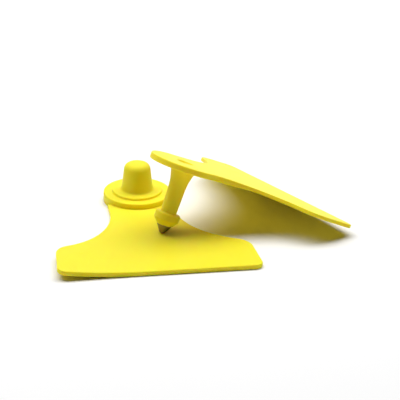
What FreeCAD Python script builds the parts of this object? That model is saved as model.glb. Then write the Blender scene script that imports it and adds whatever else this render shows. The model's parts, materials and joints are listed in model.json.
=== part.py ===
"""Two-piece livestock ear tag, one STEP file per moulding or metal piece. Units are millimetres.

The set is a female tag lying flat with its closed button upwards, and a male tag leaning on it: the
male's wide end stands on the floor and its metal tip rests on the female's panel. Both tags are drawn
in their own (u, v, n) frame first: u runs from the button's axis towards the wide end, v across, and n
out of the outer face. The row frame has +Z up and its origin on the female button's axis at the floor.
"""

import FreeCAD, Part
import math
import os

V = FreeCAD.Vector
DEG = math.pi / 180.0

# Female tag: panel outline
F_LENGTH = 70.5          # button axis to wide end
F_WIDTH = 80.0           # across the wide end
F_NECK_HALF = 13.3       # half width of the neck
F_NECK_END = 14.6        # where the neck starts to flare
F_FLARE_R = 34.0         # concave flare
F_FLARE_RUN = 0.32       # straight between the flare and the shoulder
F_SHOULDER_R = 8.7       # convex shoulder
F_PANEL_T = 2.0
F_CURL_R = 223.0         # curl of the free corner
F_CURL_START = 23.5      # flat length before the curl, along its direction
F_CURL_DIR = -75.0       # direction of the curl from +u, degrees
F_TUCK = 8.4             # how far the panel runs in under the button

# Female tag: button, ring, cap and socket
BUTTON_R = 14.0
BUTTON_H = 4.3
RING_R = 10.35
RING_H = 1.0
CAP_R = 6.6              # at its foot
CAP_TOP_R = 5.25         # where the dome starts, on the cone
CAP_H = 11.4             # above the ring
CAP_ROUND = 2.5
CAP_FOOT_R = 0.9
SOCKET_R = 3.6           # lip that holds the collar back
LIP_T = 3.0
CHAMBER_R = 5.1         # behind the lip
CHAMBER_TOP_R = 4.0
CAP_TOP_T = 1.8
CHAMBER_DOME_H = 2.2     # the chamber rounds off over this height
CHAMBER_DOME_DROP = 0.6  # drop at the dome's middle ring
CHAMBER_DOME_SHARE = 0.62  # radius of that ring, as a share of the chamber's top

# Male tag: panel outline
M_LENGTH = 60.1
M_WIDTH = 82.8
M_HEAD_R = 14.2
M_NECK_HALF = 13.3
M_FLARE_R = 29.4
M_FLARE_RUN = 4.58       # straight between the flare and the shoulder
M_SHOULDER_R = 9.4
M_HEAD_T = 2.45
M_PANEL_T = 1.6
M_FOLD_START = -5.8      # the head is flat up to here
M_FOLD_LENGTH = 17.7
M_FOLD_ANGLE = 3.0       # the panel dips below the head's plane, degrees
M_FOLD_DIR = -2.5        # direction of the fold from +u, degrees
M_THIN_LENGTH = 14.0     # head thickness runs out to panel thickness

# Both panels
SIDE_DRAFT = 3.6         # sides open towards the wide end, degrees
CORNER_R = 3.3
EDGE_BEVEL = 0.35
REACH = 150.0            # cutting bodies run at least this far past the panels

# Male tag: stem, collar, pin hole
STEM_LENGTH = 29.9       # outer face to the metal point
STEM_R = 5.4             # where the flared root would meet the underside
STEM_WAIST_R = 3.6       # where the slim taper would meet the flared root
STEM_WAIST = 7.7         # depth of that meeting below the outer face
STEM_FLARE_R = 19.0      # rounding there
STEM_END_R = 3.2
STEM_ROOT_R = 2.4        # fillet under the head
COLLAR_R = 5.15
COLLAR_TOP = 8.7         # distances from the point, along the stem
COLLAR_RIM = 6.1
COLLAR_FOOT = 3.5
COLLAR_ROUND = 0.75      # upper edge of the collar
PIN_R = 1.9
PIN_MOUTH_R = 3.5
PIN_MOUTH_DEPTH = 1.7
PIN_DISH_R = 3.15        # the mouth's wall leans in to here
PIN_DISH_DEPTH = 0.95

# Metal tip
TIP_R = 3.15
TIP_POINT_R = 0.7
TIP_SHANK_R = 2.3
TIP_SHANK_LENGTH = 4.2

# How the male tag leans
LEAN_AZIMUTH = 25.3      # heading of the male's wide end from +X, degrees
LEAN_ROLL = -2.3         # turn about its own length, degrees
TIP_U = 37.2             # where the metal point stands on the female panel
TIP_V = 4.95
SEAT_GAP = 0.05          # between the metal point and the panel

PROUD = 1.0              # how far a cutting body stands out of the face that it cuts
SAME = 0.02              # two lengths nearer than this count as equal
UPRIGHT = 0.3            # a wall whose normal rises less than this counts as upright
HALVINGS = 40            # steps of each search by halving
CORNER_STEP = 5          # degrees between the points tried round a corner


class Trace:
    """Chain of tangent lines and arcs in the (u, v) plane, kept as edges."""

    def __init__(self, u, v, heading):
        self.u, self.v, self.heading = u, v, heading
        self.edges = []

    def at(self, radius, angle):
        """Point reached after turning by angle on the given radius; a positive angle turns left."""
        side = math.copysign(1.0, angle)
        end = self.heading + angle
        return (self.u + side * radius * (math.sin(end) - math.sin(self.heading)),
                self.v - side * radius * (math.cos(end) - math.cos(self.heading)))

    def run(self, length):
        start = V(self.u, self.v, 0)
        self.u += length * math.cos(self.heading)
        self.v += length * math.sin(self.heading)
        self.edges.append(Part.makeLine(start, V(self.u, self.v, 0)))

    def turn(self, radius, angle):
        start, middle, end = V(self.u, self.v, 0), self.at(radius, angle / 2), self.at(radius, angle)
        self.edges.append(Part.Arc(start, V(*middle, 0), V(*end, 0)).toShape())
        self.u, self.v = end
        self.heading += angle


def trace_flag(trace, flare_r, flare_run, shoulder_r, length, width):
    """Continue a half outline from the neck round the flare, shoulder and corner to the wide end.

    The flare turns just as far as lets a straight of the given length and the shoulder reach the side.
    """
    draft = SIDE_DRAFT * DEG

    def round_shoulder(chain, heading):
        chain.turn(flare_r, heading - chain.heading)
        chain.run(flare_run)
        chain.turn(shoulder_r, draft - heading)
        return chain

    low, high = draft, 90 * DEG
    for _ in range(HALVINGS):
        heading = (low + high) / 2
        end = round_shoulder(Trace(trace.u, trace.v, trace.heading), heading)
        if end.v < width / 2 + math.tan(draft) * (end.u - length):
            low = heading
        else:
            high = heading
    round_shoulder(trace, heading)
    side_end = length - CORNER_R - CORNER_R * math.sin(draft)
    trace.run((side_end - trace.u) / math.cos(draft))
    trace.turn(CORNER_R, -90 * DEG - draft)
    trace.run(trace.v)


def both_sides(edges):
    """The edges and their mirror images in the u axis."""
    return edges + [edge.mirror(V(0, 0, 0), V(0, 1, 0)) for edge in edges]


def prism(edges, low, high):
    """Upright solid on the closed outline made of the edges."""
    wire = Part.Wire(Part.__sortEdges__(edges))
    face = Part.Face(wire)
    face.translate(V(0, 0, low))
    return face.extrude(V(0, 0, high - low))


def bent_slab(top, bottom, direction):
    """Slab whose section in the plane along direction lies between the two chains of edges."""
    chain = top + bottom
    ends = [(top[0].firstVertex(True).Point, bottom[0].firstVertex(True).Point),
            (top[-1].lastVertex(True).Point, bottom[-1].lastVertex(True).Point)]
    chain += [Part.makeLine(a, b) for a, b in ends]
    face = Part.Face(Part.Wire(Part.__sortEdges__(chain)))
    face.translate(V(0, -REACH, 0))
    slab = face.extrude(V(0, 2 * REACH, 0))
    slab.rotate(V(0, 0, 0), V(0, 0, 1), direction)
    return slab


def bend_chain(start, flat, radius, angle, run, offset):
    """Section chain: flat, an arc of the given radius that turns by angle (radians), then straight.

    A positive angle bends upwards. offset moves the chain out along its normal, so that the chains of
    one slab keep the same centre.
    """
    side = math.copysign(1.0, angle)
    own = radius - side * offset
    centre = V(flat, 0, side * radius)

    def on_arc(turned):
        return centre + V(math.sin(abs(turned)) * own, 0, -side * math.cos(turned) * own)

    end = on_arc(angle)
    way = V(math.cos(angle), 0, math.sin(angle))
    return [Part.makeLine(V(start, 0, offset), on_arc(0.0)),
            Part.Arc(on_arc(0.0), on_arc(angle / 2), end).toShape(),
            Part.makeLine(end, end + way * run)]


def soften(solid, sharp_before=-1000.0):
    """Bevel a panel's two rims: the edges of its upright walls that lie beyond u = sharp_before."""
    rims = []
    for face in solid.Faces:
        u0, u1, v0, v1 = face.ParameterRange
        if abs(face.normalAt((u0 + u1) / 2, (v0 + v1) / 2).z) > UPRIGHT:
            continue
        for edge in face.Edges:
            box = edge.BoundBox
            if box.XLength + box.YLength > SAME and edge.CenterOfMass.x > sharp_before:
                rims.append(edge)
    return solid.makeChamfer(EDGE_BEVEL, rims)


def revolve(points):
    """Solid of revolution about the n axis from (radius, height) points; a point with a third value
    is the middle of an arc between its neighbours."""
    edges, i = [], 0
    flat = [V(p[0], 0, p[1]) for p in points]
    while i < len(points) - 1:
        if len(points[i + 1]) == 3:
            edges.append(Part.Arc(flat[i], flat[i + 1], flat[i + 2]).toShape())
            i += 2
        else:
            edges.append(Part.makeLine(flat[i], flat[i + 1]))
            i += 1
    edges.append(Part.makeLine(flat[-1], flat[0]))
    face = Part.Face(Part.Wire(edges))
    return face.revolve(V(0, 0, 0), V(0, 0, 1), 360)


def circles(solid, *places):
    """Circular edges about the n axis at the given (radius, height) places."""
    return [edge for edge in solid.Edges if edge.Curve.TypeId == "Part::GeomCircle" and any(
        abs(edge.Curve.Radius - radius) < SAME and abs(edge.Curve.Center.z - height) < SAME
        for radius, height in places)]


def female_panel():
    """Flared panel of the female tag, one free corner curled up off the floor."""
    inside = BUTTON_R - F_TUCK
    trace = Trace(inside, F_NECK_HALF, 0.0)
    trace.run(F_NECK_END - inside)
    trace_flag(trace, F_FLARE_R, F_FLARE_RUN, F_SHOULDER_R, F_LENGTH, F_WIDTH)
    across = Part.makeLine(V(inside, -F_NECK_HALF, 0), V(inside, F_NECK_HALF, 0))
    outline = prism(both_sides(trace.edges) + [across], -REACH, REACH)
    beyond = math.hypot(F_LENGTH, F_WIDTH / 2) - F_CURL_START
    angle = beyond / F_CURL_R
    slab = bent_slab(bend_chain(-REACH, F_CURL_START, F_CURL_R, angle, beyond, F_PANEL_T),
                     bend_chain(-REACH, F_CURL_START, F_CURL_R, angle, beyond, 0.0), F_CURL_DIR)
    return soften(outline.common(slab), inside + EDGE_BEVEL)


def female_button():
    """Button flange, raised ring and closed cap as one turned shape."""
    ring_top = BUTTON_H + RING_H
    cap_top = ring_top + CAP_H
    body = revolve([(0, 0), (BUTTON_R, 0), (BUTTON_R, BUTTON_H), (RING_R, BUTTON_H), (RING_R, ring_top),
                    (CAP_R, ring_top), (CAP_TOP_R, cap_top), (0, cap_top)])
    body = body.makeFillet(CAP_ROUND, circles(body, (CAP_TOP_R, cap_top)))
    body = body.makeFillet(CAP_FOOT_R, circles(body, (CAP_R, ring_top)))
    return body.makeChamfer(EDGE_BEVEL, circles(body, (BUTTON_R, 0), (BUTTON_R, BUTTON_H), (RING_R, ring_top)))


def female_socket():
    """Blind socket under the cap: a lip with a straight bore, then a chamber that narrows upwards."""
    end = BUTTON_H + RING_H + CAP_H - CAP_TOP_T
    return revolve([(0, -PROUD), (SOCKET_R, -PROUD), (SOCKET_R, LIP_T), (CHAMBER_R, LIP_T),
                    (CHAMBER_TOP_R, end - CHAMBER_DOME_H),
                    (CHAMBER_TOP_R * CHAMBER_DOME_SHARE, end - CHAMBER_DOME_DROP), (0, end)])


def female_tag():
    """The female moulding in the row frame, its wide end towards -Y."""
    tag = female_panel().fuse(female_button()).removeSplitter().cut(female_socket())
    tag.rotate(V(0, 0, 0), V(0, 0, 1), -90)
    return tag


def male_neck_start():
    """Start (u, v, heading) of the flare arc that leaves the round head tangentially."""
    reach = M_HEAD_R + M_FLARE_R
    centre_v = M_NECK_HALF + M_FLARE_R
    centre_u = math.sqrt(reach ** 2 - centre_v ** 2)
    share = M_HEAD_R / reach
    return centre_u * share, centre_v * share, -math.atan2(centre_u, centre_v)


def male_fold():
    """Fold angle in radians and the radius of its arc."""
    angle = M_FOLD_ANGLE * DEG
    return angle, M_FOLD_LENGTH / math.sin(angle)


def male_drop(u, v):
    """Depth of the outer face below the head's plane at (u, v)."""
    angle, radius = male_fold()
    d = u * math.cos(M_FOLD_DIR * DEG) + v * math.sin(M_FOLD_DIR * DEG) - M_FOLD_START
    bend = min(max(d, 0.0), M_FOLD_LENGTH)
    return radius - math.sqrt(radius ** 2 - bend ** 2) + math.tan(angle) * max(d - M_FOLD_LENGTH, 0.0)


def male_panel():
    """Round head and flared panel of the male tag, dipping a little past the head."""
    u, v, heading = male_neck_start()
    trace = Trace(u, v, heading)
    trace_flag(trace, M_FLARE_R, M_FLARE_RUN, M_SHOULDER_R, M_LENGTH, M_WIDTH)
    head = Part.Arc(V(u, v, 0), V(-M_HEAD_R, 0, 0), V(u, -v, 0)).toShape()
    outline = prism(both_sides(trace.edges) + [head], -REACH, REACH)
    angle, radius = male_fold()
    top = bend_chain(-REACH, M_FOLD_START, radius, -angle, REACH, 0.0)
    under = bend_chain(-REACH, M_FOLD_START, radius, -angle, REACH, -M_HEAD_T)[:2]
    way, out = V(math.cos(angle), 0, -math.sin(angle)), V(math.sin(angle), 0, math.cos(angle))
    fold_end = top[2].firstVertex(True).Point
    thick, thin = fold_end - out * M_HEAD_T, fold_end + way * M_THIN_LENGTH - out * M_PANEL_T
    ease = Part.BSplineCurve()
    ease.interpolate(Points=[thick, thin], InitialTangent=way, FinalTangent=way)
    under += [ease.toShape(), Part.makeLine(thin, fold_end + way * REACH - out * M_PANEL_T)]
    slab = bent_slab(top, under, M_FOLD_DIR)
    return soften(outline.common(slab))


def male_stem():
    """Slim tapered stem with its flared root and the retaining collar, down to the metal tip's shoulder."""
    root = -M_HEAD_T
    top, rim, foot = (distance - STEM_LENGTH for distance in (COLLAR_TOP, COLLAR_RIM, COLLAR_FOOT))
    flange_r = STEM_R + 2 * STEM_ROOT_R
    buried = root + M_PANEL_T / 2
    swing = COLLAR_ROUND * (1 - math.cos(45 * DEG))
    stem = revolve([(0, buried), (flange_r, buried), (flange_r, root), (STEM_R, root),
                    (STEM_WAIST_R, -STEM_WAIST), (STEM_END_R, top), (COLLAR_R - COLLAR_ROUND, top),
                    (COLLAR_R - swing, top - swing, 0), (COLLAR_R, top - COLLAR_ROUND), (COLLAR_R, rim),
                    (TIP_R, foot), (0, foot)])
    stem = stem.makeFillet(STEM_FLARE_R, circles(stem, (STEM_WAIST_R, -STEM_WAIST)))
    return stem.makeFillet(STEM_ROOT_R, circles(stem, (STEM_R, root)))


def male_pin_hole():
    """Hole for the applicator's pin, dished at its mouth, down to the metal tip's shank."""
    depth = COLLAR_FOOT + TIP_SHANK_LENGTH - STEM_LENGTH
    return revolve([(0, PROUD), (PIN_MOUTH_R, PROUD), (PIN_MOUTH_R, 0), (PIN_DISH_R, -PIN_DISH_DEPTH),
                    (PIN_R, -PIN_MOUTH_DEPTH), (PIN_R, depth), (0, depth)])


def tip_shank(radius):
    foot = COLLAR_FOOT - STEM_LENGTH
    return Part.makeCylinder(radius, TIP_SHANK_LENGTH, V(0, 0, foot))


def metal_tip():
    """Pointed metal tip: a cone with a rounded point, and a shank that stands in the stem."""
    foot, point = COLLAR_FOOT - STEM_LENGTH, -STEM_LENGTH
    lean = math.atan2(TIP_R - TIP_POINT_R, COLLAR_FOOT)
    touch = (TIP_POINT_R * math.cos(lean), point + TIP_POINT_R * (1 - math.sin(lean)))
    half = (90 * DEG + lean) / 2
    cone = revolve([(0, foot), (TIP_R, foot), touch,
                    (TIP_POINT_R * math.cos(half), point + TIP_POINT_R * (1 - math.sin(half)), 0), (0, point)])
    return cone.fuse(tip_shank(TIP_SHANK_R)).removeSplitter()


def lean_rotation(slope):
    """Attitude of the male tag for a slope in degrees."""
    turn = FreeCAD.Rotation(V(0, 0, 1), LEAN_AZIMUTH)
    pitch = FreeCAD.Rotation(V(0, 1, 0), slope)
    roll = FreeCAD.Rotation(V(1, 0, 0), LEAN_ROLL)
    return turn.multiply(pitch).multiply(roll)


def lowest_of_end(rotation):
    """Height of the wide end's lowest point above the outer face's centre, its bevelled rim counted."""
    low = 0.0
    for side in (-1, 1):
        centre_u = M_LENGTH - CORNER_R
        centre_v = side * (M_WIDTH / 2 - CORNER_R * (1 + math.tan(SIDE_DRAFT * DEG)))
        for turned in range(0, 90 + CORNER_STEP, CORNER_STEP):
            angle = turned * DEG
            for inset, lift in ((EDGE_BEVEL, 0.0), (0.0, EDGE_BEVEL)):
                u = centre_u + (CORNER_R - inset) * math.cos(angle)
                v = centre_v + side * (CORNER_R - inset) * math.sin(angle)
                low = min(low, rotation.multVec(V(u, v, lift - M_PANEL_T - male_drop(u, v))).z)
    return low


def lean_placement():
    """Placement that stands the metal point on the female panel and the wide end on the floor."""
    point = V(0, 0, TIP_POINT_R - STEM_LENGTH)
    shallow, steep = 0.0, 60.0
    for _ in range(HALVINGS):
        slope = (shallow + steep) / 2
        rotation = lean_rotation(slope)
        height = F_PANEL_T + SEAT_GAP + TIP_POINT_R - rotation.multVec(point).z
        if height + lowest_of_end(rotation) > 0:
            shallow = slope
        else:
            steep = slope
    tip = rotation.multVec(point)
    return FreeCAD.Placement(V(TIP_V - tip.x, -TIP_U - tip.y, height), rotation)


def main():
    os.makedirs("parts", exist_ok=True)
    lean = lean_placement()
    male = male_panel().fuse(male_stem()).removeSplitter().cut(male_pin_hole()).cut(tip_shank(TIP_SHANK_R))
    male.Placement = lean
    tip = metal_tip()
    tip.Placement = lean
    for name, shape in (("female_tag", female_tag()), ("male_tag", male), ("metal_tip", tip)):
        solid = shape.Solids[0]
        assert len(shape.Solids) == 1 and solid.isValid(), name
        solid.exportStep("parts/" + name + ".step")


main()
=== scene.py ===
"""Dressed model of a two-piece livestock ear tag.

The female tag lies flat with its closed cap upwards and the male tag leans on it, its metal tip on the
female's panel. Each piece is modelled anew, with rounded rims and flowing joints, in the place that the
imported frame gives. Sizes are written in millimetres and turned to metres by MM, and angles held in
fields are in degrees.
"""

import json
import logging
import math
from dataclasses import dataclass, field
from enum import Enum

import bmesh
import bpy
from mathutils import Matrix, Vector


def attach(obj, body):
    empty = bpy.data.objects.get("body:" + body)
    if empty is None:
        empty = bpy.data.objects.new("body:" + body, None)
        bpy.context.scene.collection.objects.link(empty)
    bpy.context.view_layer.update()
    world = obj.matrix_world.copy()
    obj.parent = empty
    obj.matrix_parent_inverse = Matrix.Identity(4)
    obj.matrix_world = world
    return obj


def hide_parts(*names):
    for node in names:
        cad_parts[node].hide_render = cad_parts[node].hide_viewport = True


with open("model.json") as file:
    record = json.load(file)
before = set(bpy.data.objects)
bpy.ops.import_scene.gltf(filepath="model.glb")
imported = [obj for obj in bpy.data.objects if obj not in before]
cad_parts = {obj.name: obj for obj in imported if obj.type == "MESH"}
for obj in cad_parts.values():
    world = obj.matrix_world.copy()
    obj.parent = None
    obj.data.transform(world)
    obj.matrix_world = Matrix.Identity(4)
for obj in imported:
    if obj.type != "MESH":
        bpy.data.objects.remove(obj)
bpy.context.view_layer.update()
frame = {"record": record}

MM = 0.001
FULL_TURN = 2.0 * math.pi

# Distances, in millimetres.
WELD = 0.002  # vertices closer than this are merged on a closed mesh
TOUCH = 0.001  # vertices closer than this are merged on a mirrored outline
LEVEL = 0.01  # an edge whose ends differ less in height is level
SLICE_SLACK = 0.0001  # vertices closer than this to a slicing plane lie on it
OVERSHOOT = 1.0  # how far a boolean tool runs into or past what it meets
GRID_CELL = 2.0  # cells of a panel's grid, which lets it bend smoothly

# Fineness: angles in degrees, and numbers of segments.
RIM_ANGLE = 60.0
RIM_SEGMENTS = 4
OUTLINE_FINENESS = 3.0
TURN_FINENESS = 12.0
MIN_ARC_STEPS = 2
HEAD_STEPS = 44
TURN_STEPS = 96
SMALL_TURN_STEPS = 64
PLASTIC_CREASE = 34.0
METAL_CREASE = 40.0
FLAT_FACE_WEIGHT = 80

# Sockets of a Mix node that mixes colours, which share their names with its other sockets.
MIX_A, MIX_B, MIX_RESULT = 6, 7, 2

Corner = tuple[float, float, float]
Colour = tuple[float, float, float]
log = logging.getLogger("ear_tag")


class Side(Enum):
    """Which way a boolean tool acts on the piece it meets."""

    ADD = "UNION"
    CUT = "DIFFERENCE"


class Pen:
    """Draws one chain of tangent lines and arcs in the XY plane of a bmesh."""

    def __init__(self, bm: bmesh.types.BMesh, x: float, y: float, heading: float = 0.0) -> None:
        """Start a chain.

        Args:
            bm: The mesh that takes the chain.
            x: First coordinate of the start, in millimetres.
            y: Second coordinate of the start, in millimetres.
            heading: Direction of travel in radians from +X.
        """
        self.bm = bm
        self.heading = heading
        self.tip = bm.verts.new((x * MM, y * MM, 0.0))

    def line(self, length: float) -> None:
        """Run straight on.

        Args:
            length: How far, in millimetres.
        """
        made = bmesh.ops.extrude_vert_indiv(self.bm, verts=[self.tip])
        self.tip = made["verts"][0]
        step = Vector((math.cos(self.heading), math.sin(self.heading), 0.0)) * length * MM
        bmesh.ops.translate(self.bm, verts=[self.tip], vec=step)

    def arc(self, radius: float, angle: float, steps: int) -> None:
        """Turn on an arc.

        Args:
            radius: Radius in millimetres.
            angle: Angle turned in radians; positive turns left.
            steps: Number of segments.
        """
        left = self.heading + math.copysign(math.pi / 2, angle)
        centre = self.tip.co + Vector((math.cos(left), math.sin(left), 0.0)) * radius * MM
        made = bmesh.ops.spin(
            self.bm, geom=[self.tip], cent=centre, axis=(0, 0, 1), dvec=(0, 0, 0),
            angle=angle, steps=steps, use_merge=False, use_duplicate=False,
        )
        self.tip = next(v for v in made["geom_last"] if isinstance(v, bmesh.types.BMVert))
        self.heading += angle

    def through(self, corners: list[Corner], fineness: float) -> None:
        """Run to each corner point and round it.

        Args:
            corners: (x, y, rounding radius) in millimetres; the last one is reached unrounded.
            fineness: Largest angle of one arc segment, in degrees.
        """
        for (x, y, rounding), after in zip(corners, corners[1:] + [None]):
            here = self.tip.co / MM
            way = Vector((x - here.x, y - here.y, 0.0))
            self.heading = math.atan2(way.y, way.x)
            if after is None or rounding == 0.0:
                self.line(way.length)
                continue
            out = math.atan2(after[1] - y, after[0] - x)
            turn = (out - self.heading + math.pi) % FULL_TURN - math.pi
            self.line(way.length - rounding * abs(math.tan(turn / 2)))
            self.arc(rounding, turn, max(MIN_ARC_STEPS, math.ceil(abs(math.degrees(turn)) / fineness)))


def recalculate(bm: bmesh.types.BMesh) -> None:
    """Merge doubled vertices and point all faces outwards."""
    bmesh.ops.remove_doubles(bm, verts=bm.verts[:], dist=WELD * MM)
    bmesh.ops.recalc_face_normals(bm, faces=bm.faces[:])


def level_way(angle: float) -> Vector:
    """Level unit vector at an angle in degrees from +X."""
    return Vector((math.cos(math.radians(angle)), math.sin(math.radians(angle)), 0))


def turned(corners: list[Corner], steps: int = TURN_STEPS) -> bmesh.types.BMesh:
    """Turn a profile about the Z axis.

    Args:
        corners: (radius, height, rounding) points in millimetres, from the axis round to the axis.
        steps: Segments round the axis.

    Returns:
        A closed mesh.
    """
    bm = bmesh.new()
    pen = Pen(bm, corners[0][0], corners[0][1])
    pen.through(corners[1:], TURN_FINENESS)
    bmesh.ops.rotate(bm, verts=bm.verts[:], cent=(0, 0, 0), matrix=Matrix.Rotation(math.pi / 2, 3, "X"))
    bmesh.ops.spin(
        bm, geom=bm.verts[:] + bm.edges[:], cent=(0, 0, 0), axis=(0, 0, 1), dvec=(0, 0, 0),
        angle=FULL_TURN, steps=steps, use_merge=True, use_duplicate=False,
    )
    recalculate(bm)
    return bm


def put(bm: bmesh.types.BMesh, name: str) -> bpy.types.Object:
    """Make an object of a bmesh and free the bmesh.

    Args:
        bm: The finished mesh.
        name: Name of the object.

    Returns:
        The object, linked to the scene.
    """
    mesh = bpy.data.meshes.new(name)
    bm.to_mesh(mesh)
    bm.free()
    piece = bpy.data.objects.new(name, mesh)
    bpy.context.scene.collection.objects.link(piece)
    return piece


def combine(piece: bpy.types.Object, tool: bpy.types.Object, side: Side) -> None:
    """Join a tool to a piece, or cut it out, and remove the tool.

    Args:
        piece: The object that is changed.
        tool: The object that is joined to it or cut out of it.
        side: Whether the tool is joined or cut out.
    """
    joint = piece.modifiers.new("joint", "BOOLEAN")
    joint.operation = side.value
    joint.solver = "EXACT"
    joint.object = tool
    bpy.context.view_layer.update()
    graph = bpy.context.evaluated_depsgraph_get()
    mesh = bpy.data.meshes.new_from_object(piece.evaluated_get(graph))
    piece.modifiers.clear()
    piece.data = mesh
    bpy.data.objects.remove(tool)


def finish_surface(piece: bpy.types.Object, crease: float) -> None:
    """Shade a piece smooth up to an angle, with its large faces kept flat.

    Args:
        piece: The object.
        crease: Edges sharper than this many degrees stay sharp.
    """
    piece.data.shade_smooth()
    piece.data.set_sharp_from_angle(angle=math.radians(crease))
    weights = piece.modifiers.new("flat faces", "WEIGHTED_NORMAL")
    weights.keep_sharp = True
    weights.weight = FLAT_FACE_WEIGHT


def maths(
    tree: bpy.types.NodeTree, operation: str, first: bpy.types.NodeSocket | float,
    second: bpy.types.NodeSocket | float,
) -> bpy.types.NodeSocket:
    """Add one Math node.

    Args:
        tree: The node tree.
        operation: Name of the operation.
        first: Socket or number.
        second: Socket or number.

    Returns:
        The node's output socket.
    """
    node = tree.nodes.new("ShaderNodeMath")
    node.operation = operation
    for socket, value in zip(node.inputs, (first, second)):
        if isinstance(value, bpy.types.NodeSocket):
            tree.links.new(value, socket)
        else:
            socket.default_value = value
    return node.outputs["Value"]


def new_group(name: str, inputs: dict[str, float], outputs: tuple[str, ...]) -> bpy.types.NodeTree:
    """Make an empty shader group with sockets for values.

    Args:
        name: Name of the group.
        inputs: Input name to default.
        outputs: Output names.

    Returns:
        The group, with its Group Input and Group Output nodes.
    """
    group = bpy.data.node_groups.new(name, "ShaderNodeTree")
    for label, value in inputs.items():
        socket = group.interface.new_socket(label, in_out="INPUT", socket_type="NodeSocketFloat")
        socket.default_value = value
    for label in outputs:
        group.interface.new_socket(label, in_out="OUTPUT", socket_type="NodeSocketFloat")
    group.nodes.new("NodeGroupInput")
    group.nodes.new("NodeGroupOutput")
    return group


class MouldGrain:
    """Shader group for a moulded or handled surface: fine grain, slow mottling and hairline rubs."""

    NAME = "mould grain"
    INPUTS = {
        "Grain Scale": 5200.0,
        "Mottle Scale": 45.0,
        "Roughness": 0.45,
        "Roughness Swing": 0.08,
        "Rub": 0.15,
    }
    OUTPUTS = ("Mottle", "Roughness", "Height")
    GRAIN_DETAIL = 2.0
    MOTTLE_DETAIL = 4.0
    MOTTLE_ROUGHNESS = 0.6
    MOTTLE_MIDDLE = 0.5
    RUB_STRETCH = (60.0, 900.0, 300.0)
    RUB_TURN = (0.0, 0.0, 0.5)
    RUB_DETAIL = 3.0
    RUB_ONSET = 0.62
    RUB_FULL = 0.74

    @classmethod
    def group(cls) -> bpy.types.NodeTree:
        """The group, built the first time it is asked for."""
        return bpy.data.node_groups.get(cls.NAME) or cls.build()

    @staticmethod
    def noise(group: bpy.types.NodeTree, place: bpy.types.NodeSocket, detail: float) -> bpy.types.Node:
        """Add a noise texture.

        Args:
            group: The node tree.
            place: Socket that says where the noise is read.
            detail: Its number of finer layers.

        Returns:
            The texture node.
        """
        node = group.nodes.new("ShaderNodeTexNoise")
        node.inputs["Detail"].default_value = detail
        group.links.new(place, node.inputs["Vector"])
        return node

    @classmethod
    def build(cls) -> bpy.types.NodeTree:
        """Build the group.

        Returns:
            A group that puts out Mottle, Roughness and Height.
        """
        group = new_group(cls.NAME, cls.INPUTS, cls.OUTPUTS)
        nodes, link = group.nodes, group.links.new
        given, result = nodes["Group Input"].outputs, nodes["Group Output"].inputs
        place = nodes.new("ShaderNodeTexCoord").outputs["Object"]

        grain = cls.noise(group, place, cls.GRAIN_DETAIL)
        link(given["Grain Scale"], grain.inputs["Scale"])

        mottle = cls.noise(group, place, cls.MOTTLE_DETAIL)
        mottle.inputs["Roughness"].default_value = cls.MOTTLE_ROUGHNESS
        link(given["Mottle Scale"], mottle.inputs["Scale"])
        link(mottle.outputs["Fac"], result["Mottle"])

        stretch = nodes.new("ShaderNodeMapping")
        stretch.inputs["Scale"].default_value = cls.RUB_STRETCH
        stretch.inputs["Rotation"].default_value = cls.RUB_TURN
        link(place, stretch.inputs["Vector"])
        hairline = cls.noise(group, stretch.outputs["Vector"], cls.RUB_DETAIL)
        hairline.inputs["Scale"].default_value = 1.0
        thin = nodes.new("ShaderNodeMapRange")
        thin.inputs["From Min"].default_value = cls.RUB_ONSET
        thin.inputs["From Max"].default_value = cls.RUB_FULL
        link(hairline.outputs["Fac"], thin.inputs["Value"])
        rubbed = maths(group, "MULTIPLY", thin.outputs["Result"], given["Rub"])

        centred = maths(group, "SUBTRACT", mottle.outputs["Fac"], cls.MOTTLE_MIDDLE)
        swing = maths(group, "MULTIPLY", centred, given["Roughness Swing"])
        rough = maths(group, "ADD", given["Roughness"], swing)
        link(maths(group, "ADD", rough, rubbed), result["Roughness"])
        link(maths(group, "SUBTRACT", grain.outputs["Fac"], rubbed), result["Height"])
        return group


def fresh_material(name: str) -> tuple[bpy.types.Material, bpy.types.Node]:
    """Make a node material.

    Args:
        name: Name of the material.

    Returns:
        The material and its Principled BSDF node.
    """
    material = bpy.data.materials.new(name)
    material.use_nodes = True
    return material, material.node_tree.nodes["Principled BSDF"]


def mottled_material(
    name: str, low: Colour, high: Colour, settings: dict[str, float]
) -> tuple[bpy.types.Material, bpy.types.Node, bpy.types.Node]:
    """Make a material whose colour and roughness drift with the mould grain.

    Args:
        name: Name of the material.
        low: Colour where the mottle is low.
        high: Colour where the mottle is high.
        settings: Name to value, for the inputs of the grain that differ from its defaults.

    Returns:
        The material, its Principled BSDF node and its grain node.
    """
    material, skin = fresh_material(name)
    nodes, link = material.node_tree.nodes, material.node_tree.links.new
    grain = nodes.new("ShaderNodeGroup")
    grain.node_tree = MouldGrain.group()
    for label, value in settings.items():
        grain.inputs[label].default_value = value
    tone = nodes.new("ShaderNodeMix")
    tone.data_type = "RGBA"
    tone.inputs[MIX_A].default_value = (*low, 1.0)
    tone.inputs[MIX_B].default_value = (*high, 1.0)
    link(grain.outputs["Mottle"], tone.inputs["Factor"])
    link(tone.outputs[MIX_RESULT], skin.inputs["Base Color"])
    link(grain.outputs["Roughness"], skin.inputs["Roughness"])
    return material, skin, grain


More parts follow.
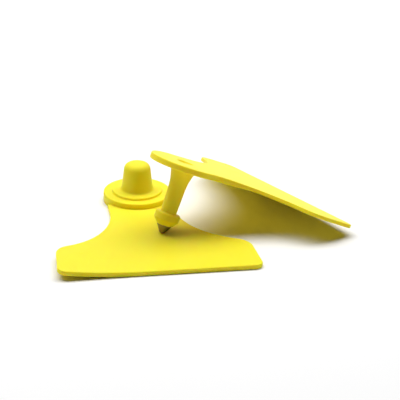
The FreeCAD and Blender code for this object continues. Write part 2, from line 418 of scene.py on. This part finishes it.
def add_relief(
    material: bpy.types.Material, skin: bpy.types.Node, height: bpy.types.NodeSocket,
    strength: float, depth: float,
) -> None:
    """Let a height bend the surface's normals.

    Args:
        material: The material.
        skin: Its Principled BSDF node.
        height: Socket that puts out the height.
        strength: Strength of the effect.
        depth: Depth of the relief in millimetres.
    """
    relief = material.node_tree.nodes.new("ShaderNodeBump")
    relief.inputs["Strength"].default_value = strength
    relief.inputs["Distance"].default_value = depth * MM
    material.node_tree.links.new(height, relief.inputs["Height"])
    material.node_tree.links.new(relief.outputs["Normal"], skin.inputs["Normal"])


@dataclass(frozen=True)
class SoftPlastic:
    """Flexible tag plastic: satin, translucent, with a fine moulded grain."""

    name: str
    colour: Colour
    deep: Colour
    roughness: float = 0.45
    ior: float = 1.48
    gloss: float = 0.09
    grain_strength: float = 0.35
    grain_depth: float = 0.02
    bleed: Colour = (1.0, 0.56, 0.06)
    bleed_depth: float = 1.9
    bleed_weight: float = 0.8

    def material(self) -> bpy.types.Material:
        """Build the material.

        Returns:
            The material, to be put in a piece's slot.
        """
        material, skin, grain = mottled_material(
            self.name, self.deep, self.colour, {"Roughness": self.roughness},
        )
        add_relief(material, skin, grain.outputs["Height"], self.grain_strength, self.grain_depth)
        skin.inputs["IOR"].default_value = self.ior
        skin.inputs["Specular IOR Level"].default_value = self.gloss
        skin.inputs["Subsurface Weight"].default_value = self.bleed_weight
        skin.inputs["Subsurface Radius"].default_value = self.bleed
        skin.inputs["Subsurface Scale"].default_value = self.bleed_depth * MM
        return material


@dataclass(frozen=True)
class TurnedMetal:
    """Dull turned metal with fine tool marks round the stem's axis."""

    name: str
    colour: Colour
    tarnish: Colour
    roughness: float = 0.34
    roughness_swing: float = 0.25
    mottle_scale: float = 420.0
    groove_pitch: float = 0.22
    groove_depth: float = 0.012
    groove_strength: float = 0.4

    def material(self, axis: Vector) -> bpy.types.Material:
        """Build the material.

        Args:
            axis: Direction of the piece's axis.

        Returns:
            The material, to be put in a piece's slot.
        """
        material, skin, _ = mottled_material(self.name, self.tarnish, self.colour, {
            "Roughness": self.roughness,
            "Mottle Scale": self.mottle_scale,
            "Roughness Swing": self.roughness_swing,
        })
        tree = material.node_tree
        along = tree.nodes.new("ShaderNodeVectorMath")
        along.operation = "DOT_PRODUCT"
        along.inputs[1].default_value = axis
        tree.links.new(tree.nodes.new("ShaderNodeTexCoord").outputs["Object"], along.inputs[0])
        wave = maths(tree, "MULTIPLY", along.outputs["Value"], FULL_TURN / (self.groove_pitch * MM))
        marks = maths(tree, "SINE", wave, 0.0)
        add_relief(material, skin, marks, self.groove_strength, self.groove_depth)
        skin.inputs["Metallic"].default_value = 1.0
        return material


@dataclass
class FlagOutline:
    """Flared outline of a tag panel, from its narrow end to its wide end."""

    length: float
    width: float
    neck_half: float
    flare_r: float
    shoulder_r: float
    flare_turn: float = 66.0
    side_draft: float = 3.6
    corner_r: float = 3.3

    def corners(self, flare_end: tuple[float, float]) -> list[Corner]:
        """Corner points of the half outline after the flare's corner.

        Args:
            flare_end: A point on the straight run that leaves the flare.

        Returns:
            (u, v, rounding) for the shoulder, the wide end's corner and the middle of the wide end.
        """
        rise = math.tan(math.radians(self.flare_turn))
        draft = math.tan(math.radians(self.side_draft))
        u, v = flare_end
        shoulder_u = (v - rise * u - self.width / 2 + draft * self.length) / (draft - rise)
        shoulder_v = self.width / 2 + draft * (shoulder_u - self.length)
        return [
            (shoulder_u, shoulder_v, self.shoulder_r),
            (self.length, self.width / 2, self.corner_r),
            (self.length, 0.0, 0.0),
        ]


def slab_of(bm: bmesh.types.BMesh, thickness: float, rim: float) -> None:
    """Turn the half outline drawn in a bmesh into a slab with rounded rims and an even grid.

    Args:
        bm: Mesh that holds the half outline, from v = 0 round to v = 0 or to its open neck.
        thickness: Thickness in millimetres, downwards from the outline's plane.
        rim: Radius of the rounded rims in millimetres.
    """
    bmesh.ops.mirror(bm, geom=bm.verts[:] + bm.edges[:], merge_dist=TOUCH * MM, axis="Y")
    bmesh.ops.remove_doubles(bm, verts=bm.verts[:], dist=TOUCH * MM)
    ends = [v for v in bm.verts if len(v.link_edges) == 1]
    if ends:
        bmesh.ops.contextual_create(bm, geom=ends)
    bmesh.ops.edgeloop_fill(bm, edges=bm.edges[:])
    bmesh.ops.recalc_face_normals(bm, faces=bm.faces[:])
    if bm.faces[:][0].normal.z < 0:
        bmesh.ops.reverse_faces(bm, faces=bm.faces[:])
    made = bmesh.ops.extrude_face_region(bm, geom=bm.faces[:], use_keep_orig=True)
    low = [v for v in made["geom"] if isinstance(v, bmesh.types.BMVert)]
    bmesh.ops.translate(bm, verts=low, vec=(0, 0, -thickness * MM))
    recalculate(bm)
    rims = [
        e for e in bm.edges
        if e.is_manifold and e.calc_face_angle(0.0) > math.radians(RIM_ANGLE)
        and abs(e.verts[0].co.z - e.verts[1].co.z) < LEVEL * MM
    ]
    bmesh.ops.bevel(
        bm, geom=rims, offset=rim * MM, offset_type="OFFSET", segments=RIM_SEGMENTS, profile=0.5,
        affect="EDGES", material=-1, clamp_overlap=True,
    )
    for axis, normal in enumerate((Vector((1, 0, 0)), Vector((0, 1, 0)))):
        low_end = min(v.co[axis] for v in bm.verts)
        high_end = max(v.co[axis] for v in bm.verts)
        cuts = max(1, round((high_end - low_end) / (GRID_CELL * MM)))
        for number in range(1, cuts):
            at = normal * (low_end + (high_end - low_end) * number / cuts)
            bmesh.ops.bisect_plane(
                bm, geom=bm.verts[:] + bm.edges[:] + bm.faces[:], dist=SLICE_SLACK * MM,
                plane_co=at, plane_no=normal,
            )


def bent_by(radius: float, beyond: float, arc_length: float) -> float:
    """Rise of a sheet past the start of a bend.

    Args:
        radius: Radius of the bend in millimetres.
        beyond: Distance past the start of the bend.
        arc_length: Length over which the sheet bends before it runs straight.

    Returns:
        The rise in millimetres.
    """
    turning = min(max(beyond, 0.0), arc_length)
    drop = math.sqrt(radius**2 - turning**2)
    return radius - drop + turning / drop * max(beyond - arc_length, 0.0)


@dataclass
class FemaleTag:
    """Female tag: flared panel, button flange, ring and closed cap over a blind socket."""

    outline: FlagOutline = field(default_factory=lambda: FlagOutline(
        length=70.5, width=80.0, neck_half=13.3, flare_r=34.0, shoulder_r=8.7,
    ))
    neck_end: float = 14.6
    panel_t: float = 2.0
    rim: float = 0.42
    curl_start: float = 23.5
    curl_r: float = 223.0
    curl_length: float = 80.0
    curl_direction: float = -75.0
    button_r: float = 14.0
    button_h: float = 4.3
    button_top_round: float = 0.5
    button_foot_round: float = 0.35
    button_wall: float = 1.2
    button_skin: float = 0.4
    ring_r: float = 10.35
    ring_h: float = 1.0
    ring_draft: float = 0.08
    ring_top_round: float = 0.3
    ring_foot_round: float = 0.28
    cap_r: float = 6.6
    cap_top_r: float = 5.25
    cap_h: float = 11.4
    cap_round: float = 2.5
    cap_foot_round: float = 0.8
    cap_top_t: float = 1.8
    socket_r: float = 3.6
    lip_t: float = 3.0
    lip_round: float = 0.25
    chamber_r: float = 5.1
    chamber_top_r: float = 4.0
    chamber_foot_round: float = 0.3
    chamber_top_round: float = 1.6

    def panel(self) -> bpy.types.Object:
        """Build the flared panel with its curled corner, in the (u, v) frame.

        Returns:
            The panel, which starts under the button.
        """
        bm = bmesh.new()
        bend = self.outline.flare_r * math.tan(math.radians(self.outline.flare_turn / 2))
        flare = (self.neck_end + bend, self.outline.neck_half)
        pen = Pen(bm, self.button_r / 2, self.outline.neck_half)
        pen.through([(*flare, self.outline.flare_r), *self.outline.corners(flare)], OUTLINE_FINENESS)
        slab_of(bm, self.panel_t, self.rim)
        way = level_way(self.curl_direction)
        for vert in bm.verts:
            rise = bent_by(self.curl_r, vert.co.dot(way) / MM - self.curl_start, self.curl_length)
            vert.co.z += (self.panel_t + rise) * MM
        return put(bm, "female_tag_moulding")

    def clearance(self) -> bpy.types.Object:
        """Build the tool that clears the panel away inside the button.

        Returns:
            The tool, which stops short of the button's side and top.
        """
        radius, top = self.button_r - self.button_wall, self.button_h - self.button_skin
        return put(turned([
            (0.0, -OVERSHOOT, 0.0), (radius, -OVERSHOOT, 0.0), (radius, top, 0.0), (0.0, top, 0.0),
        ], SMALL_TURN_STEPS), "clearance")

    def button(self) -> bpy.types.Object:
        """Build the flange, ring and cap with the hollow under them.

        Returns:
            The button, to be joined to the panel.
        """
        ring_top = self.button_h + self.ring_h
        top = ring_top + self.cap_h
        roof = top - self.cap_top_t
        return put(turned([
            (0.0, top, 0.0),
            (self.cap_top_r, top, self.cap_round),
            (self.cap_r, ring_top, self.cap_foot_round),
            (self.ring_r, ring_top, self.ring_top_round),
            (self.ring_r + self.ring_draft, self.button_h, self.ring_foot_round),
            (self.button_r, self.button_h, self.button_top_round),
            (self.button_r, 0.0, self.button_foot_round),
            (self.socket_r, 0.0, 0.0),
            (self.socket_r, self.lip_t, self.lip_round),
            (self.chamber_r, self.lip_t, self.chamber_foot_round),
            (self.chamber_top_r, roof, self.chamber_top_round),
            (0.0, roof, 0.0),
        ]), "button")

    def build(self) -> bpy.types.Object:
        """Build the whole moulding in the row frame.

        Returns:
            The finished piece.
        """
        piece = self.panel()
        combine(piece, self.clearance(), Side.CUT)
        combine(piece, self.button(), Side.ADD)
        piece.data.transform(Matrix.Rotation(-math.pi / 2, 4, "Z"))
        finish_surface(piece, PLASTIC_CREASE)
        return piece


@dataclass
class MaleTag:
    """Male tag: round head, flared panel, hollow stem with its collar."""

    outline: FlagOutline = field(default_factory=lambda: FlagOutline(
        length=60.1, width=82.8, neck_half=13.3, flare_r=29.4, shoulder_r=9.4,
    ))
    roll: float = -2.3
    azimuth: float = 25.3
    head_r: float = 14.2
    head_t: float = 2.45
    panel_t: float = 1.6
    thin_length: float = 14.0
    rim: float = 0.42
    fold_start: float = -5.8
    fold_length: float = 17.7
    fold_angle: float = 3.0
    fold_direction: float = -2.5
    stem_length: float = 29.9
    stem_r: float = 5.4
    stem_end_r: float = 3.2
    waist_r: float = 3.6
    waist: float = 7.7
    root_r: float = 2.4
    root_sink: float = 0.18
    root_flare_r: float = 19.0
    collar_r: float = 5.15
    collar_top: float = 8.7
    collar_rim: float = 6.1
    collar_foot: float = 3.5
    collar_draft: float = 0.05
    collar_drop: float = 0.3
    collar_neck_round: float = 0.35
    collar_top_round: float = 0.75
    collar_rim_round: float = 0.5
    collar_foot_round: float = 0.2
    tip_r: float = 3.15
    tip_margin: float = 0.05
    shank_r: float = 2.3
    shank_length: float = 4.2
    pin_r: float = 1.9
    pin_round: float = 0.3
    pin_mouth_r: float = 3.5
    pin_mouth_depth: float = 1.7
    mouth_flare: float = 0.5
    mouth_lift: float = 0.05
    mouth_lip: float = 0.1
    mouth_lip_round: float = 0.3
    dish_inset: float = 0.4
    dish_depth: float = 1.0
    dish_round: float = 0.4

    @property
    def foot(self) -> float:
        """Height of the collar's foot, where the metal tip shows."""
        return self.collar_foot - self.stem_length

    @property
    def seat(self) -> float:
        """Height at which the metal tip's shank ends inside the stem."""
        return self.foot + self.shank_length

    def neck_start(self) -> tuple[float, float, float]:
        """Find where the flare leaves the round head tangentially.

        Returns:
            The place (u, v) in millimetres and the heading in radians.
        """
        reach = self.head_r + self.outline.flare_r
        centre_v = self.outline.neck_half + self.outline.flare_r
        centre_u = math.sqrt(reach**2 - centre_v**2)
        share = self.head_r / reach
        return centre_u * share, centre_v * share, -math.atan2(centre_u, centre_v)

    def thickness(self, along: float) -> float:
        """Thickness of the moulding, eased from head to panel.

        Args:
            along: Distance along the fold's direction, in millimetres.

        Returns:
            The thickness in millimetres.
        """
        start = self.fold_start + self.fold_length
        share = min(max((along - start) / self.thin_length, 0.0), 1.0)
        return self.head_t + (self.panel_t - self.head_t) * share * share * (3 - 2 * share)

    def panel(self) -> bpy.types.Object:
        """Build the head and panel in the (u, v) frame, the outer face up at the head.

        Returns:
            The head and panel as one object.
        """
        bm = bmesh.new()
        u, v, heading = self.neck_start()
        pen = Pen(bm, -self.head_r, 0.0, math.pi / 2)
        pen.arc(self.head_r, -(math.pi - math.atan2(v, u)), HEAD_STEPS)
        turn = math.radians(self.outline.flare_turn) - heading
        reach = self.outline.flare_r * math.tan(turn / 2)
        corner = (u + reach * math.cos(heading), v + reach * math.sin(heading))
        pen.through([(*corner, self.outline.flare_r), *self.outline.corners(corner)], OUTLINE_FINENESS)
        slab_of(bm, self.head_t, self.rim)
        way = level_way(self.fold_direction)
        radius = self.fold_length / math.sin(math.radians(self.fold_angle))
        for vert in bm.verts:
            along = vert.co.dot(way) / MM
            vert.co.z *= self.thickness(along) / self.head_t
            vert.co.z -= bent_by(radius, along - self.fold_start, self.fold_length) * MM
        return put(bm, "male_tag_moulding")

    def stem(self) -> bpy.types.Object:
        """Build the solid stem and collar under the head.

        Returns:
            The stem, to be joined to the head.
        """
        top, rim = self.collar_top - self.stem_length, self.collar_rim - self.stem_length
        under = self.root_sink - self.head_t
        root = self.stem_r + 2 * self.root_r
        return put(turned([
            (0.0, -OVERSHOOT, 0.0),
            (root, -OVERSHOOT, 0.0),
            (root, under, 0.0),
            (self.stem_r, under, self.root_r),
            (self.waist_r, -self.waist, self.root_flare_r),
            (self.stem_end_r, top, self.collar_neck_round),
            (self.collar_r, top - self.collar_draft, self.collar_top_round),
            (self.collar_r, rim - self.collar_drop, self.collar_rim_round),
            (self.tip_r + self.tip_margin, self.foot, self.collar_foot_round),
            (0.0, self.foot, 0.0),
        ]), "stem")

    def hollow(self) -> bpy.types.Object:
        """Build the tool that cuts the pin's hole, its dished mouth and the metal tip's seat.

        Returns:
            The tool, which runs past the head's top and the collar's foot.
        """
        mouth = self.pin_mouth_r + self.mouth_flare
        below = self.foot - OVERSHOOT
        return put(turned([
            (0.0, OVERSHOOT, 0.0),
            (mouth, OVERSHOOT, 0.0),
            (mouth, self.mouth_lift, 0.0),
            (self.pin_mouth_r, -self.mouth_lip, self.mouth_lip_round),
            (self.pin_mouth_r - self.dish_inset, -self.dish_depth, self.dish_round),
            (self.pin_r, -self.pin_mouth_depth, self.pin_round),
            (self.pin_r, self.seat, 0.0),
            (self.shank_r, self.seat, 0.0),
            (self.shank_r, below, 0.0),
            (0.0, below, 0.0),
        ]), "hollow")

    def place(self) -> Matrix:
        """Find the male tag's place, from the axis and the middle of the pin's hole in the record.

        Returns:
            The matrix from the (u, v) frame to the row frame.
        """
        mount = next(m for m in frame["record"]["mounts"] if m["name"] == "pin_bore")
        axis = Vector(mount["axis"]).normalized()
        roll = math.radians(self.roll)
        slope = math.acos(axis.z / math.cos(roll))
        middle = (self.seat - self.pin_mouth_depth) / 2 * MM
        turn = (
            Matrix.Rotation(math.radians(self.azimuth), 4, "Z")
            @ Matrix.Rotation(slope, 4, "Y")
            @ Matrix.Rotation(roll, 4, "X")
        )
        return Matrix.Translation(Vector(mount["pos_m"]) - axis * middle) @ turn

    def build(self) -> bpy.types.Object:
        """Build the whole moulding in the row frame.

        Returns:
            The finished piece.
        """
        piece = self.panel()
        combine(piece, self.stem(), Side.ADD)
        combine(piece, self.hollow(), Side.CUT)
        piece.data.transform(self.place())
        finish_surface(piece, PLASTIC_CREASE)
        return piece


@dataclass
class MetalTip:
    """Pointed metal tip with a shank that stands in the stem."""

    male: MaleTag
    shank_round: float = 0.3
    foot_round: float = 0.18
    point_r: float = 0.7
    point_share: float = 0.72
    point_round: float = 0.5

    def build(self) -> bpy.types.Object:
        """Build the tip in the row frame.

        Returns:
            The finished piece.
        """
        foot, seat, point = self.male.foot, self.male.seat, -self.male.stem_length
        lean = math.atan2(self.male.tip_r - self.point_r, self.male.collar_foot)
        blunt = self.point_r * (1 + math.sin(lean)) / math.cos(lean) * self.point_share
        piece = put(turned([
            (0.0, seat, 0.0),
            (self.male.shank_r, seat, self.shank_round),
            (self.male.shank_r, foot, 0.0),
            (self.male.tip_r, foot, self.foot_round),
            (blunt, point, self.point_round),
            (0.0, point, 0.0),
        ], SMALL_TURN_STEPS), "metal_tip_turned")
        piece.data.transform(self.male.place())
        finish_surface(piece, METAL_CREASE)
        return piece


@dataclass
class Studio:
    """Pale floor, soft overhead light and the camera."""

    heading: float = 10.2
    elevation: float = 24.24
    roll: float = 1.2
    distance: float = 712.1
    aim_right: float = 26.34
    lens: float = 153.06
    near_clip: float = 50.0
    floor_half: float = 6000.0
    floor_grey: float = 0.97
    lamp_place: tuple[float, float, float] = (0.0, 260.0, 1000.0)
    lamp_size: tuple[float, float] = (2000.0, 640.0)
    lamp_power: float = 19.8
    surround_grey: float = 0.01

    def floor(self) -> None:
        """Lay the floor under the object."""
        bm = bmesh.new()
        bmesh.ops.create_grid(bm, x_segments=2, y_segments=2, size=self.floor_half * MM)
        floor = put(bm, "studio_floor")
        material, skin = fresh_material("white paper")
        skin.inputs["Base Color"].default_value = (*[self.floor_grey] * 3, 1.0)
        skin.inputs["Roughness"].default_value = 1.0
        skin.inputs["Specular IOR Level"].default_value = 0.0
        floor.data.materials.append(material)

    def softbox(self) -> None:
        """Hang the soft light above and slightly behind the object, facing it."""
        data = bpy.data.lights.new("overhead", "AREA")
        data.shape = "RECTANGLE"
        data.size, data.size_y = (side * MM for side in self.lamp_size)
        data.energy = self.lamp_power
        light = bpy.data.objects.new("overhead", data)
        place = Vector([value * MM for value in self.lamp_place])
        light.location = place
        light.rotation_euler = (-place).to_track_quat("-Z", "Y").to_euler()
        bpy.context.scene.collection.objects.link(light)

    def surround(self) -> None:
        """Set a surround that is dim as a light and white where it is seen or mirrored."""
        world = bpy.data.worlds.new("surround")
        world.use_nodes = True
        nodes, link = world.node_tree.nodes, world.node_tree.links.new
        seen = nodes.new("ShaderNodeBackground")
        seen.inputs["Color"].default_value = (1.0, 1.0, 1.0, 1.0)
        dim = nodes["Background"]
        dim.inputs["Color"].default_value = (*[self.surround_grey] * 3, 1.0)
        path, pick = nodes.new("ShaderNodeLightPath"), nodes.new("ShaderNodeMixShader")
        shown = path.outputs["Is Camera Ray"]
        for ray in ("Is Glossy Ray", "Is Transmission Ray"):
            shown = maths(world.node_tree, "MAXIMUM", shown, path.outputs[ray])
        link(shown, pick.inputs["Fac"])
        link(dim.outputs["Background"], pick.inputs[1])
        link(seen.outputs["Background"], pick.inputs[2])
        link(pick.outputs["Shader"], nodes["World Output"].inputs["Surface"])
        bpy.context.scene.world = world

    def camera(self) -> None:
        """Set the camera, raised and turned a little to the left."""
        heading, pitch, roll = (math.radians(a) for a in (self.heading, self.elevation, self.roll))
        flat = Vector((math.sin(heading), math.cos(heading), 0.0))
        across = Vector((math.cos(heading), -math.sin(heading), 0.0))
        forward = flat * math.cos(pitch) - Vector((0, 0, math.sin(pitch)))
        down = -flat * math.sin(pitch) - Vector((0, 0, math.cos(pitch)))
        right = across * math.cos(roll) - down * math.sin(roll)
        down = across * math.sin(roll) + down * math.cos(roll)
        data = bpy.data.cameras.new("camera")
        data.lens = self.lens
        data.clip_start = self.near_clip * MM
        camera = bpy.data.objects.new("camera", data)
        turn = Matrix((right, -down, -forward)).transposed().to_4x4()
        place = right * self.aim_right * MM - forward * self.distance * MM
        camera.matrix_world = Matrix.Translation(place) @ turn
        bpy.context.scene.collection.objects.link(camera)
        bpy.context.scene.camera = camera

    def build(self) -> None:
        """Set up floor, light and camera."""
        self.floor()
        self.softbox()
        self.surround()
        self.camera()
        bpy.context.scene.view_settings.view_transform = "Standard"


def fit_out(piece: bpy.types.Object, node: str, material: bpy.types.Material) -> None:
    """Hand a finished piece to the frame: what it replaces, what it rides on and what it wears.

    Args:
        piece: The new piece.
        node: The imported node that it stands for.
        material: Its finish.
    """
    piece.data.materials.clear()
    piece.data.materials.append(material)
    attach(piece, "root")
    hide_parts(node)
    log.info("%s: %d faces", piece.name, len(piece.data.polygons))


def main() -> None:
    """Build every piece, dress it and set up the studio."""
    logging.basicConfig(level=logging.INFO, format="%(message)s")
    yellow = SoftPlastic("yellow tag plastic", colour=(0.98, 0.82, 0.042), deep=(0.96, 0.79, 0.036))
    male_yellow = SoftPlastic("yellow male plastic", colour=(0.98, 0.82, 0.046), deep=(0.96, 0.79, 0.040))
    dull = TurnedMetal("dull tip metal", colour=(0.36, 0.30, 0.20), tarnish=(0.20, 0.16, 0.10))
    male = MaleTag()
    axis = male.place().to_3x3() @ Vector((0, 0, 1))
    fit_out(FemaleTag().build(), "female_tag", yellow.material())
    fit_out(male.build(), "male_tag", male_yellow.material())
    fit_out(MetalTip(male).build(), "metal_tip", dull.material(axis))
    Studio().build()


if __name__ == "__main__":
    main()
